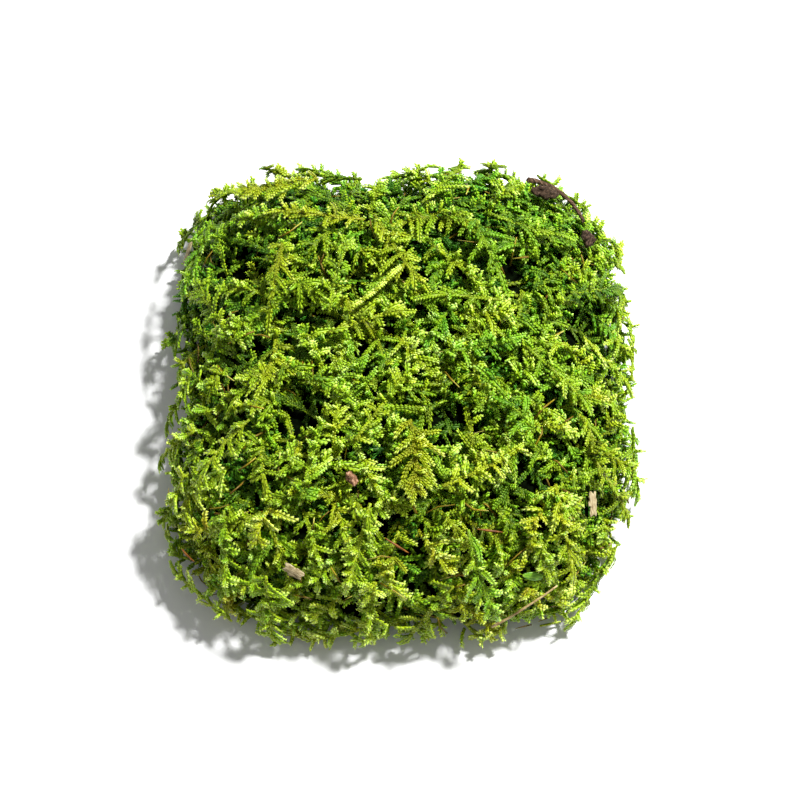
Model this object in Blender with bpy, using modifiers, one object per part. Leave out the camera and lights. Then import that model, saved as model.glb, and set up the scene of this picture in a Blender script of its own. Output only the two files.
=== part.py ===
"""A clump of feather moss, lifted from the ground and cut off flat below.

It is a low, squarish cushion: a mat of packed older shoots that rests on its flat cut, the leafy fronds
that lie over the mat like shingles, and the bits of litter that have fallen among them.
Metres, +Z up. The origin is on the flat cut, under the middle of the clump.
"""

import math
import random

import bmesh
import bpy
from mathutils import Matrix, Quaternion, Vector, kdtree, noise
from mathutils.bvhtree import BVHTree

MM = 0.001
GAP = 0.3 * MM  # left between pieces that rest on each other

# The canopy, which is the smooth surface that the fronds lie on
HALF_WIDTH = 58 * MM
HALF_DEPTH = 62 * MM
CROWN_HEIGHT = 35 * MM
SQUARENESS = 4  # exponent of the outline: 2 is an ellipse, and more is squarer
SHOULDER = 4  # how late the top rolls over into the sides
LOBES = ((3, 0.014, 0.6), (5, 0.012, 2.1), (8, 0.008, 4.0))  # waves round the outline, share, turn
# Rises and hollows of the top: x, y, reach, rise
SWELLS = (
    (-22 * MM, 30 * MM, 20 * MM, 2.2 * MM),
    (24 * MM, 22 * MM, 18 * MM, 1.8 * MM),
    (2 * MM, -30 * MM, 17 * MM, 2.4 * MM),
    (-32 * MM, -34 * MM, 14 * MM, 1.4 * MM),
    (-41.5 * MM, 25.8 * MM, 6.5 * MM, -8 * MM),
    (-44.9 * MM, -17.2 * MM, 6 * MM, -7.5 * MM),
    (44.3 * MM, 9.3 * MM, 6.5 * MM, -7.5 * MM),
    (-23.1 * MM, -15.2 * MM, 6 * MM, -7 * MM),
    (11.2 * MM, -17.1 * MM, 6 * MM, -7 * MM),
    (31.3 * MM, -31.1 * MM, 6 * MM, -7 * MM),
    (2.2 * MM, 47 * MM, 6 * MM, -7.5 * MM),
    (-38.8 * MM, -1 * MM, 5 * MM, -5.5 * MM),
    (-35.6 * MM, -34.6 * MM, 5 * MM, -5.5 * MM),
    (29.1 * MM, 19.5 * MM, 5 * MM, -5.5 * MM),
    (-25.5 * MM, 8.7 * MM, 5 * MM, -5 * MM),
)

# The mat, whose surface is rounded tufts of packed shoots
MAT_CUTS = 20  # along each edge of the box that it starts from, and even, so that no row is at the cut
MAT_INSET = 0.3 * MM  # how far its highest tufts stay under the canopy
TUFT_DEPTH = 4.4 * MM
TUFT_SPAN = 10 * MM
TUFT_EDGE = 0.75  # share of the span at which a tuft meets the valley round it
FOOT_INSET = 2.5 * MM  # how far its sides draw in at the cut
FOOT_HEIGHT = 8 * MM
RAY_SHARES = 0.3, 1.8  # of a half-size ellipsoid's rays, between which they all meet the canopy
RAY_HALVINGS = 24

# Fronds: a stem with branchlets on both sides
FROND_COUNT = 47
FROND_LENGTHS = 17 * MM, 24 * MM
FROND_SLENDERNESS = 0.28, 0.34  # half width over length
FROND_BEND = math.radians(40)  # the most that a stem turns sideways over its length
FROND_THICKNESS = 1.9 * MM
FROND_SEGMENTS = 5
STEM_HALF_WIDTH = 0.9 * MM
BRANCHLET_SWEEP = math.radians(54)  # from the stem, towards its tip
BRANCHLET_TAPER = 0.5
FROND_SPACE = 1.9 * MM  # kept between the points of two fronds
OUTWARD_SPREAD = math.radians(40)  # how far a frond near the rim turns from straight outwards
LOWEST_FROND = 1.5 * MM
PATH_STEP = 1 * MM
PATH_SPARE = 1.3  # a path's length over its frond's, because branchlets reach past the stem's end
NEAR_CANOPY = 0.35  # levels from which a random point is brought to the canopy
RIM_SHARE = 0.6  # plan share past which fronds turn outwards
SEED = 14
TRIES = 16000
# Fronds that stand out and so come first: x, y, heading in degrees, length, slenderness, bend in degrees
CHOSEN_FRONDS = (
    (3 * MM, -19 * MM, -97, 17 * MM, 0.42, 10),
    (-20 * MM, 46 * MM, 165, 19 * MM, 0.32, 20),
    (-45 * MM, 37 * MM, -140, 18 * MM, 0.36, 15),
)

# Settling a piece on the mat: it comes down from here in these steps
HIGHEST_LIFT = 5 * MM
LIFT_STEP = 0.1 * MM

# Litter: x, y, heading in degrees, size
BARK_CRUMBS = (
    (35.2 * MM, 44.8 * MM, 20, (6.4 * MM, 4.2 * MM, 3.0 * MM)),
    (46.6 * MM, 34.0 * MM, 70, (5.2 * MM, 3.6 * MM, 2.8 * MM)),
    (-11.1 * MM, -32.3 * MM, 110, (3.4 * MM, 2.6 * MM, 2.0 * MM)),
)
LEAF_SCRAPS = (
    (-24.2 * MM, -51.7 * MM, -40, (4.8 * MM, 3.0 * MM)),
    (44.1 * MM, -35 * MM, -80, (5.2 * MM, 2.6 * MM)),
    (-53 * MM, 33 * MM, 35, (5.4 * MM, 2.6 * MM)),
)
NEEDLES = (
    (-0.7 * MM, -47.6 * MM, -38, 6.5 * MM),
    (20.5 * MM, -43.7 * MM, -8, 6 * MM),
    (-49.7 * MM, -44.4 * MM, -20, 5 * MM),
)
SCRAP_THICKNESS = 0.5 * MM
NEEDLE_THICKNESS = 0.9 * MM
TWIG_ROUTE = ((31.5, 50.5), (34.5, 50.3), (37.6, 49.2), (40.2, 47.2), (42.3, 44.5), (44, 41.3), (45, 38.4))
TWIG_RADIUS = 0.65 * MM
STALK_ROUTE = ((21.3, -61), (25.3, -59.6), (29.3, -57.6), (33.2, -55.4), (36.6, -53.1))
STALK_RADIUS = 0.32 * MM
STICK_TAPER = 0.35
SEEDLING_LEAF = (30.7 * MM, -52.5 * MM, 160, (5.2 * MM, 2.6 * MM, 0.9 * MM))

COLOURS = {
    "old_moss": (0.045, 0.075, 0.018),
    "moss_green": (0.30, 0.42, 0.035),
    "bark": (0.16, 0.10, 0.06),
    "dead_leaf": (0.50, 0.40, 0.22),
    "needle": (0.38, 0.17, 0.05),
    "straw": (0.55, 0.42, 0.22),
    "seedling": (0.32, 0.55, 0.06),
}
ROUGHNESS = {"moss_green": 0.45, "seedling": 0.35}
DEFAULT_ROUGHNESS = 0.85


# ---- the canopy ----


def plan_share(x, y):
    """0 over the middle of the clump, and 1 on its outline as seen from above."""
    square = abs(x / HALF_WIDTH) ** SQUARENESS + abs(y / HALF_DEPTH) ** SQUARENESS
    angle = math.atan2(y, x)
    waves = sum(share * math.sin(count * angle + turn) for count, share, turn in LOBES)
    return square ** (1 / SQUARENESS) / (1 + waves)


def crown(x, y):
    """Height of the canopy here, before it rolls over into the sides."""
    rises = (
        rise * math.exp(-((x - at_x) ** 2 + (y - at_y) ** 2) / reach**2)
        for at_x, at_y, reach, rise in SWELLS
    )
    return CROWN_HEIGHT + sum(rises)


def level(point):
    """Under 0 inside the canopy, and over 0 outside it."""
    x, y, z = point
    return plan_share(x, y) ** SHOULDER + (z / crown(x, y)) ** 2 - 1


def slope(point):
    """Gradient of the level, which points out of the clump."""
    step = 0.05 * MM
    here = level(point)
    return Vector((level(point + axis * step) - here) / step for axis in Matrix.Identity(3))


def onto_canopy(point):
    """The point of the canopy nearest this one, to a few hundredths of a millimetre."""
    for _ in range(3):
        rise = slope(point)
        point = point - rise * (level(point) / rise.length_squared)
    return point


def canopy_over(x, y):
    """The point of the canopy straight above this spot, and the way out of the clump there."""
    height = crown(x, y) * math.sqrt(max(0.0, 1 - plan_share(x, y) ** SHOULDER))
    point = Vector((x, y, height))
    return point, slope(point).normalized()


def along_canopy(heading, way_out):
    """A heading turned into the canopy where the way out of the clump is known."""
    return (heading - way_out * heading.dot(way_out)).normalized()


def compass(degrees):
    return Vector((math.cos(math.radians(degrees)), math.sin(math.radians(degrees)), 0))


# ---- helpers ----


def clear_scene():
    for thing in list(bpy.data.objects):
        bpy.data.objects.remove(thing, do_unlink=True)


def make_material(name):
    material = bpy.data.materials.new(name)
    material.use_nodes = True
    shader = material.node_tree.nodes["Principled BSDF"]
    shader.inputs["Base Color"].default_value = (*COLOURS[name], 1)
    shader.inputs["Roughness"].default_value = ROUGHNESS.get(name, DEFAULT_ROUGHNESS)
    return material


def add_object(name, data, material):
    thing = bpy.data.objects.new(name, data)
    data.materials.append(material)
    clump.objects.link(thing)
    return thing


def add_mesh(name, bm, material):
    bmesh.ops.recalc_face_normals(bm, faces=bm.faces)
    mesh = bpy.data.meshes.new(name)
    bm.to_mesh(mesh)
    bm.free()
    return add_object(name, mesh, material)


def touches(bm, tree):
    return bool(BVHTree.FromBMesh(bm).overlap(tree))


# ---- mat ----


def out_to_canopy(ray):
    """The point where a ray from the origin meets the canopy."""
    inner, outer = RAY_SHARES
    for _halving in range(RAY_HALVINGS):
        middle = (inner + outer) / 2
        if level(ray * middle) > 0:
            outer = middle
        else:
            inner = middle
    return ray * inner


def build_moss_mat(material):
    """The packed older shoots: the canopy's own form, a little lower and tufted, cut off flat."""
    bm = bmesh.new()
    bmesh.ops.create_cube(bm, size=2)
    bmesh.ops.subdivide_edges(bm, edges=bm.edges[:], cuts=MAT_CUTS, use_grid_fill=True)
    for vert in bm.verts:
        way = vert.co.normalized()
        point = out_to_canopy(Vector((way.x * HALF_WIDTH, way.y * HALF_DEPTH, way.z * CROWN_HEIGHT)))
        from_tuft = min(1.0, noise.voronoi(point / TUFT_SPAN)[0][0] / TUFT_EDGE)
        foot = max(0.0, 1 - abs(point.z) / FOOT_HEIGHT) ** 2
        inset = MAT_INSET + TUFT_DEPTH * from_tuft**2 + FOOT_INSET * foot
        vert.co = point - slope(point).normalized() * inset
    everything = bm.verts[:] + bm.edges[:] + bm.faces[:]
    bmesh.ops.bisect_plane(bm, geom=everything, plane_co=(0, 0, 0), plane_no=(0, 0, 1), clear_inner=True)
    bmesh.ops.holes_fill(bm, edges=[edge for edge in bm.edges if edge.is_boundary])
    tree = BVHTree.FromBMesh(bm)
    add_mesh("moss_mat", bm, material)
    return tree


# ---- fronds ----


def branchlet_reach(along, half_width):
    """Length of the branchlets at this share of the stem: longest near a third of the way."""
    return half_width * min(1.0, 0.55 + 1.4 * along) * (1.04 - along) ** 0.55


def frond_path(start, heading, bend, length):
    """Stations a step apart along a stem that lies on the canopy: point, heading, way out."""
    stations = []
    point, ahead = start, heading
    for _ in range(math.ceil(length / PATH_STEP) + 1):
        way_out = slope(point).normalized()
        ahead = along_canopy(ahead, way_out)
        stations.append((point, ahead, way_out))
        ahead = Quaternion(way_out, bend * PATH_STEP / length) @ ahead
        point = onto_canopy(point + ahead * PATH_STEP)
    return stations


def footprint(path, length, half_width):
    """Points spread over a frond, for finding out whether its place is free."""
    yield path[0][0]
    for segment in range(FROND_SEGMENTS):
        share = (segment + 0.5) / FROND_SEGMENTS
        point, ahead, way_out = path[round(share * length / PATH_STEP)]
        yield point
        reach = branchlet_reach(share, half_width)
        forward = ahead * (reach * math.cos(BRANCHLET_SWEEP))
        across = way_out.cross(ahead) * (reach * math.sin(BRANCHLET_SWEEP) + STEM_HALF_WIDTH)
        for part in (0.5, 1.0):
            yield onto_canopy(point + (forward + across) * part)
            yield onto_canopy(point + (forward - across) * part)
    yield path[round(length / PATH_STEP)][0]


def tree_of(points):
    tree = kdtree.KDTree(len(points))
    for index, point in enumerate(points):
        tree.insert(point, index)
    tree.balance()
    return tree


def kept_clear():
    """Points that the fronds keep away from: the hollows and the litter."""
    spots = [(x, y) for x, y, _, rise in SWELLS if rise < 0]
    spots += [(x * MM, y * MM) for x, y in (*TWIG_ROUTE, *STALK_ROUTE)]
    for x, y, degrees, size in (*BARK_CRUMBS, *LEAF_SCRAPS, *NEEDLES, SEEDLING_LEAF):
        half = compass(degrees) * (size if isinstance(size, float) else size[0]) / 2
        spots += [(x - half.x, y - half.y), (x, y), (x + half.x, y + half.y)]
    return [canopy_over(x, y)[0] for x, y in spots]


def random_frond(chance):
    """A random spot of the canopy, a heading that turns outwards towards the rim, and a size."""
    while True:
        x = chance.uniform(-HALF_WIDTH, HALF_WIDTH)
        y = chance.uniform(-HALF_DEPTH, HALF_DEPTH)
        z = chance.uniform(0.1 * CROWN_HEIGHT, 1.1 * CROWN_HEIGHT)
        if abs(level(Vector((x, y, z)))) < NEAR_CANOPY:
            break
    start = onto_canopy(Vector((x, y, z)))
    spread = OUTWARD_SPREAD if plan_share(start.x, start.y) > RIM_SHARE else math.pi
    degrees = math.degrees(math.atan2(start.y, start.x) + chance.uniform(-spread, spread))
    length = chance.uniform(*FROND_LENGTHS)
    half_width = length * chance.uniform(*FROND_SLENDERNESS)
    bend = chance.uniform(-FROND_BEND, FROND_BEND)
    return start, compass(degrees), length, half_width, bend


def frond_places():
    """Path, length and half width of each frond: the chosen ones, then random ones where it is free."""
    chance = random.Random(SEED)
    taken = kept_clear()
    places = []
    for x, y, degrees, length, slenderness, bend in CHOSEN_FRONDS:
        start = canopy_over(x, y)[0]
        path = frond_path(start, compass(degrees), math.radians(bend), length * PATH_SPARE)
        places.append((path, length, length * slenderness))
        taken += footprint(*places[-1])
    nearby = tree_of(taken)
    for _ in range(TRIES):
        if len(places) == FROND_COUNT:
            break
        start, heading, length, half_width, bend = random_frond(chance)
        if nearby.find(start)[2] < FROND_SPACE:
            continue
        path = frond_path(start, heading, bend, length * PATH_SPARE)
        own = []
        for point in footprint(path, length, half_width):
            if point.z < LOWEST_FROND or nearby.find(point)[2] < FROND_SPACE:
                break
            own.append(point)
        else:
            places.append((path, length, half_width))
            taken += own
            nearby = tree_of(taken)
    return places


def flat_frond(length, half_width):
    """A frond laid out flat: its stem along +X from the origin, and its underside at z 0."""
    bm = bmesh.new()
    bmesh.ops.create_cube(bm, size=1)
    along = [edge for edge in bm.edges if abs(edge.verts[0].co.x - edge.verts[1].co.x) > 0.5]
    bmesh.ops.subdivide_edges(bm, edges=along, cuts=FROND_SEGMENTS - 1, use_grid_fill=True)
    for vert in bm.verts:
        share = vert.co.x + 0.5
        width = 2 * vert.co.y * STEM_HALF_WIDTH * (1 - 0.45 * share)
        vert.co = Vector((share * length, width, (vert.co.z + 0.5) * FROND_THICKNESS))
    bm.normal_update()
    flanks = [face for face in bm.faces if abs(face.normal.y) > 0.5]
    for face in flanks:
        centre = face.calc_center_median()
        reach = branchlet_reach(centre.x / length, half_width)
        side = math.copysign(reach, face.normal.y)
        tip = centre + Vector((reach * math.cos(BRANCHLET_SWEEP), side * math.sin(BRANCHLET_SWEEP), 0))
        grown = bmesh.ops.extrude_discrete_faces(bm, faces=[face])["faces"][0]
        for vert in grown.verts:
            vert.co = tip + (vert.co - centre) * BRANCHLET_TAPER
    return bm


def build_frond(name, path, length, half_width, mat, material):
    """Bends a flat frond over the canopy, then lowers it until it rests on the mat."""
    bm = flat_frond(length, half_width)
    spots = []
    for vert in bm.verts:
        x, y, z = vert.co
        index = min(int(x / PATH_STEP), len(path) - 2)
        rest = x / PATH_STEP - index
        start, ahead, out = path[index]
        following, ahead_next, out_next = path[index + 1]
        way_out = out.lerp(out_next, rest).normalized()
        side = way_out.cross(ahead.lerp(ahead_next, rest)).normalized()
        point = onto_canopy(start.lerp(following, rest) + side * y)
        way_out = slope(point).normalized()
        spots.append((vert, point + way_out * z, way_out))
    lift = HIGHEST_LIFT
    while True:
        for vert, point, way_out in spots:
            vert.co = point + way_out * (lift - LIFT_STEP)
        if touches(bm, mat):
            break
        lift -= LIFT_STEP
    for vert, point, way_out in spots:
        vert.co = point + way_out * (lift + GAP)
    add_mesh(name, bm, material)


# ---- litter ----


def lay_on_mat(name, bm, x, y, degrees, mat, material):
    """Lays a piece with its own +Z out of the clump, and lowers it until it rests on the mat."""
    point, way_out = canopy_over(x, y)
    ahead = along_canopy(compass(degrees), way_out)
    turned = Matrix((ahead, way_out.cross(ahead), way_out)).transposed().to_4x4()
    lift = HIGHEST_LIFT
    while True:
        lower = bm.copy()
        place = Matrix.Translation(point + way_out * (lift - LIFT_STEP)) @ turned
        bmesh.ops.transform(lower, matrix=place, verts=lower.verts)
        stopped = touches(lower, mat)
        lower.free()
        if stopped:
            break
        lift -= LIFT_STEP
    piece = add_mesh(name, bm, material)
    piece.matrix_world = Matrix.Translation(point + way_out * (lift + GAP)) @ turned
    return piece


def bark_crumb(size, turn):
    """A rough lump of bark, flattened and pitted."""
    bm = bmesh.new()
    bmesh.ops.create_icosphere(bm, subdivisions=2, radius=0.5)
    for vert in bm.verts:
        rough = 1 + 0.3 * noise.noise(vert.co * 4 + Vector((turn, 0, 0)))
        vert.co = Vector(part * extent * rough for part, extent in zip(vert.co, size))
    return bm


def leaf_scrap(size, turn):
    """A torn scrap of a dead leaf, curled along its length: a sheet that gets its thickness later."""
    length, width = size
    bm = bmesh.new()
    bmesh.ops.create_grid(bm, x_segments=5, y_segments=3, size=0.5)
    for vert in bm.verts:
        along, across = vert.co.x, vert.co.y
        torn = 1 - 1.6 * along**2 + 0.25 * noise.noise(vert.co * 4 + Vector((turn, 0, 0)))
        curl = 0.22 * width * (1 - (2 * across) ** 2) + 0.12 * length * along
        vert.co = Vector((along * length, across * width * torn, curl))
    return bm


def pine_needle(length):
    """A fallen conifer needle: a slim, slightly bowed spindle."""
    bm = bmesh.new()
    bmesh.ops.create_cone(bm, cap_ends=True, segments=8, radius1=0.5, radius2=0.5, depth=1)
    upright = [edge for edge in bm.edges if abs(edge.verts[0].co.z - edge.verts[1].co.z) > 0.5]
    bmesh.ops.subdivide_edges(bm, edges=upright, cuts=3, use_grid_fill=True)
    for vert in bm.verts:
        along = vert.co.z
        thickness = NEEDLE_THICKNESS * (1 - 2.6 * along**2)
        bow = 0.06 * length * (1 - (2 * along) ** 2)
        vert.co = Vector((along * length, vert.co.x * thickness, vert.co.y * thickness + bow))
    return bm


def seedling_leaf(size):
    """One smooth little leaf of a seedling, pointed at its tip."""
    bm = bmesh.new()
    bmesh.ops.create_icosphere(bm, subdivisions=2, radius=0.5)
    for vert in bm.verts:
        narrowing = 1 - 0.5 * max(0.0, vert.co.x * 2) ** 1.5
        shape = (size[0], size[1] * narrowing, size[2] * narrowing)
        vert.co = Vector(part * extent for part, extent in zip(vert.co, shape))
    return bm


def build_stick(name, route, radius, mat, material):
    """A twig or stalk that rests on the mat along a route of x, y points in millimetres."""
    spots = [canopy_over(x * MM, y * MM) for x, y in route]
    lift = -HIGHEST_LIFT
    for (start, out_start), (end, out_end) in zip(spots, spots[1:]):
        for share in (0, 0.25, 0.5, 0.75, 1):
            point = start.lerp(end, share)
            way_out = out_start.lerp(out_end, share).normalized()
            hit = mat.ray_cast(point + way_out * HIGHEST_LIFT, -way_out)[0]
            lift = max(lift, (hit - point).dot(way_out))
    lift += radius + 2 * GAP
    curve = bpy.data.curves.new(name, "CURVE")
    curve.dimensions = "3D"
    curve.bevel_depth = radius
    curve.bevel_resolution = 2
    curve.use_fill_caps = True
    spline = curve.splines.new("POLY")
    spline.points.add(len(route) - 1)
    for index, (point, way_out) in enumerate(spots):
        spline.points[index].co = (*(point + way_out * lift), 1)
        spline.points[index].radius = 1 - STICK_TAPER * index / (len(route) - 1)
    add_object(name, curve, material)


def build_litter(finishes, mat):
    for number, (x, y, degrees, size) in enumerate(BARK_CRUMBS, 1):
        lump = bark_crumb(size, number * 7)
        lay_on_mat(f"bark_crumb_{number}", lump, x, y, degrees, mat, finishes["bark"])
    for number, (x, y, degrees, size) in enumerate(LEAF_SCRAPS, 1):
        sheet = leaf_scrap(size, number * 5)
        scrap = lay_on_mat(f"dead_leaf_scrap_{number}", sheet, x, y, degrees, mat, finishes["dead_leaf"])
        thickness = scrap.modifiers.new("thickness", "SOLIDIFY")
        thickness.thickness = SCRAP_THICKNESS
        thickness.offset = 1
    for number, (x, y, degrees, length) in enumerate(NEEDLES, 1):
        lay_on_mat(f"pine_needle_{number}", pine_needle(length), x, y, degrees, mat, finishes["needle"])
    build_stick("brown_twig", TWIG_ROUTE, TWIG_RADIUS, mat, finishes["bark"])
    build_stick("pale_stalk", STALK_ROUTE, STALK_RADIUS, mat, finishes["straw"])
    x, y, degrees, size = SEEDLING_LEAF
    lay_on_mat("seedling_leaf", seedling_leaf(size), x, y, degrees, mat, finishes["seedling"])


clear_scene()
clump = bpy.data.collections.new("moss_clump")
bpy.context.scene.collection.children.link(clump)
materials = {name: make_material(name) for name in COLOURS}
mat_surface = build_moss_mat(materials["old_moss"])
for index, (stem_path, stem_length, reach_across) in enumerate(frond_places(), 1):
    frond_name = f"frond_{index:02d}"
    build_frond(frond_name, stem_path, stem_length, reach_across, mat_surface, materials["moss_green"])
build_litter(materials, mat_surface)
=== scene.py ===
import math
import random
import time

import bmesh
import bpy
import numpy as np
from mathutils import Matrix, Quaternion, Vector, kdtree, noise


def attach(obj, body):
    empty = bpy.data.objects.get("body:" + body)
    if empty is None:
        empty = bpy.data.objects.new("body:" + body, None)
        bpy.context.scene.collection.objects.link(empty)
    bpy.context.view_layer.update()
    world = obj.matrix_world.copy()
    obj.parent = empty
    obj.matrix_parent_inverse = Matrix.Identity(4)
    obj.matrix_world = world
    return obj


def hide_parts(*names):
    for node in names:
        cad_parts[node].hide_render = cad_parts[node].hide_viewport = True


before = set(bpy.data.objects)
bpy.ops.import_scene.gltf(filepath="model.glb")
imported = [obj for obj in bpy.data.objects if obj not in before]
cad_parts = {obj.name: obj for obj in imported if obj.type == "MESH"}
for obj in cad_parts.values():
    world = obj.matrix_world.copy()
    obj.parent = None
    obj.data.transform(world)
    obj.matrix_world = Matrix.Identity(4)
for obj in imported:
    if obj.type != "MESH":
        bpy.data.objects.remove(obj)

# A clump of feather moss: leafy fronds over a dark mat, with fallen litter, under a plain studio light.
mm = 0.001
began = time.time()
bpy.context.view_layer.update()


def report(stage):
    print(f"{time.time() - began:6.1f} s  {stage}")


# canopy: the smooth surface that the fronds lie on, with the solids' own measures
canopy = {
    "halfWidth": 58 * mm,
    "halfDepth": 62 * mm,
    "crownHeight": 35 * mm,
    "squareness": 4,
    "shoulder": 4,
    "lobes": ((3, 0.014, 0.6), (5, 0.012, 2.1), (8, 0.008, 4.0)),  # waves, share, turn
    # rises and hollows of the top: x, y, reach and rise in mm
    "swells": (
        (-22, 30, 20, 2.2),
        (24, 22, 18, 1.8),
        (2, -30, 17, 2.4),
        (-32, -34, 14, 1.4),
        (-41.5, 25.8, 6.5, -5),
        (-44.9, -17.2, 6, -4.5),
        (44.3, 9.3, 6.5, -4.5),
        (-23.1, -15.2, 6, -4),
        (11.2, -17.1, 6, -4),
        (31.3, -31.1, 6, -4),
        (2.2, 47, 6, -4.5),
        (-38.8, -1, 5, -3.5),
        (-35.6, -34.6, 5, -3.5),
        (29.1, 19.5, 5, -3.5),
        (-25.5, 8.7, 5, -3),
    ),
    "hollowReach": 1.3,  # how far a hollow's sinking and painted shade go, over its reach
    "slopeStep": 0.05 * mm,
    "settlings": 3,  # steps that bring a point onto it
}


def planShare(x, y):  # 0 over the middle of the clump, and 1 on its outline from above
    power = canopy["squareness"]
    square = abs(x / canopy["halfWidth"]) ** power + abs(y / canopy["halfDepth"]) ** power
    angle = math.atan2(y, x)
    waves = sum(share * math.sin(count * angle + turn) for count, share, turn in canopy["lobes"])
    return square ** (1 / power) / (1 + waves)


def crown(x, y):
    height = canopy["crownHeight"]
    for atX, atY, reach, rise in canopy["swells"]:
        away = (x - atX * mm) ** 2 + (y - atY * mm) ** 2
        height += rise * mm * math.exp(-away / (reach * mm) ** 2)
    return height


def level(point):  # under 0 inside the canopy
    x, y, z = point
    return planShare(x, y) ** canopy["shoulder"] + (z / crown(x, y)) ** 2 - 1


def slope(point):
    step = canopy["slopeStep"]
    here = level(point)
    return Vector([(level(point + axis * step) - here) / step for axis in Matrix.Identity(3)])


def ontoCanopy(point):
    for _ in range(canopy["settlings"]):
        rise = slope(point)
        point = point - rise * (level(point) / rise.length_squared)
    return point


def heightOver(point):  # how far outside the canopy a point near it is
    return level(point) / slope(point).length


def canopyOver(x, y):
    height = crown(x, y) * math.sqrt(max(0.0, 1 - planShare(x, y) ** canopy["shoulder"]))
    point = Vector((x, y, height))
    return point, slope(point).normalized()


def compass(degrees):
    return Vector((math.cos(math.radians(degrees)), math.sin(math.radians(degrees)), 0))


def alongCanopy(heading, wayOut):
    return (heading - wayOut * heading.dot(wayOut)).normalized()


def newMaterial(name, roughness=0.5, specular=0.5):
    material = bpy.data.materials.new(name)
    material.use_nodes = True
    shader = material.node_tree.nodes["Principled BSDF"]
    shader.inputs["Roughness"].default_value = roughness
    shader.inputs["Specular IOR Level"].default_value = specular
    return material, material.node_tree, shader


def addNode(tree, kind, settings=None, **inputs):  # inputs are named, or in0, in1 and so on
    node = tree.nodes.new(kind)
    for key, value in (settings or {}).items():
        setattr(node, key, value)
    for key, value in inputs.items():
        numbered = key.startswith("in") and key[2:].isdigit()
        socket = node.inputs[int(key[2:]) if numbered else key]
        if isinstance(value, bpy.types.NodeSocket):
            tree.links.new(value, socket)
        else:
            socket.default_value = value
    return node


def colourRamp(tree, factor, stops):  # stops: position, linear red, green, blue
    ramp = addNode(tree, "ShaderNodeValToRGB", in0=factor)
    elements = ramp.color_ramp.elements
    while len(elements) < len(stops):
        elements.new(0.5)
    for element, (position, *colour) in zip(elements, stops):
        element.position = position
        element.color = (*colour, 1)
    return ramp.outputs["Color"]


mossLeaf = {
    "roughness": (0.50, 0.32),  # in the painted dark parts, and at the painted light ends of the leaves
    "glossy": (0.25, 0.75),  # painted lightness between which it gets smoother
    "specular": 0.36,
    "glint": (1.0, 1.0, 0.62, 1),
    "glow": 0.45,  # share of the light that passes through the leaves
    "glowReach": (0.7, 1.0, 0.06),
    "glowScale": 0.75 * mm,
    # tone: brown, golden, olive, yellow-green, green, emerald, each with a painted-shade colour and a
    # painted-light colour
    "shaded": (
        (0.0, 0.030, 0.014, 0.002),
        (0.22, 0.095, 0.070, 0.003),
        (0.42, 0.075, 0.110, 0.003),
        (0.60, 0.042, 0.115, 0.003),
        (0.80, 0.014, 0.090, 0.003),
        (1.0, 0.005, 0.062, 0.005),
    ),
    "lit": (
        (0.0, 0.200, 0.095, 0.015),
        (0.22, 0.560, 0.400, 0.018),
        (0.42, 0.595, 0.655, 0.014),
        (0.60, 0.470, 0.690, 0.014),
        (0.80, 0.240, 0.610, 0.016),
        (1.0, 0.080, 0.440, 0.030),
    ),
    "palest": (0.65, 0.80, 0.28, 1),  # painted highlight, at the lightest ends of the leaves
    "paling": (0.57, 1.08, 0.0, 0.64),  # from and to this painted lightness, and how much
}


def mossMaterial():  # tone and painted light and shade are a leaf's place in its UV map
    material, tree, shader = newMaterial("moss_leaf", specular=mossLeaf["specular"])
    shader.inputs["Specular Tint"].default_value = mossLeaf["glint"]
    shader.inputs["Subsurface Weight"].default_value = mossLeaf["glow"]
    shader.inputs["Subsurface Radius"].default_value = mossLeaf["glowReach"]
    shader.inputs["Subsurface Scale"].default_value = mossLeaf["glowScale"]
    place = addNode(tree, "ShaderNodeUVMap", {"uv_map": "shade"})
    parts = addNode(tree, "ShaderNodeSeparateXYZ", in0=place.outputs["UV"])
    shaded = colourRamp(tree, parts.outputs["X"], mossLeaf["shaded"])
    lit = colourRamp(tree, parts.outputs["X"], mossLeaf["lit"])
    # painted shade to painted light, by the leaf's painted lightness
    mixed = addNode(
        tree, "ShaderNodeMix", {"data_type": "RGBA"},
        Factor=parts.outputs["Y"], in6=shaded, in7=lit,
    )
    # painted highlight: a pale colour over the lightest ends of the leaves
    start, end, least, most = mossLeaf["paling"]
    paling = addNode(
        tree, "ShaderNodeMapRange",
        in0=parts.outputs["Y"], in1=start, in2=end, in3=least, in4=most,
    )
    highlighted = addNode(
        tree, "ShaderNodeMix", {"data_type": "RGBA"},
        Factor=paling.outputs[0], in6=mixed.outputs[2], in7=mossLeaf["palest"],
    )
    tree.links.new(highlighted.outputs[2], shader.inputs["Base Color"])
    dark, light = mossLeaf["glossy"]
    rough, smooth = mossLeaf["roughness"]
    gloss = addNode(
        tree, "ShaderNodeMapRange",
        in0=parts.outputs["Y"], in1=dark, in2=light, in3=rough, in4=smooth,
    )
    tree.links.new(gloss.outputs[0], shader.inputs["Roughness"])
    return material


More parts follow.
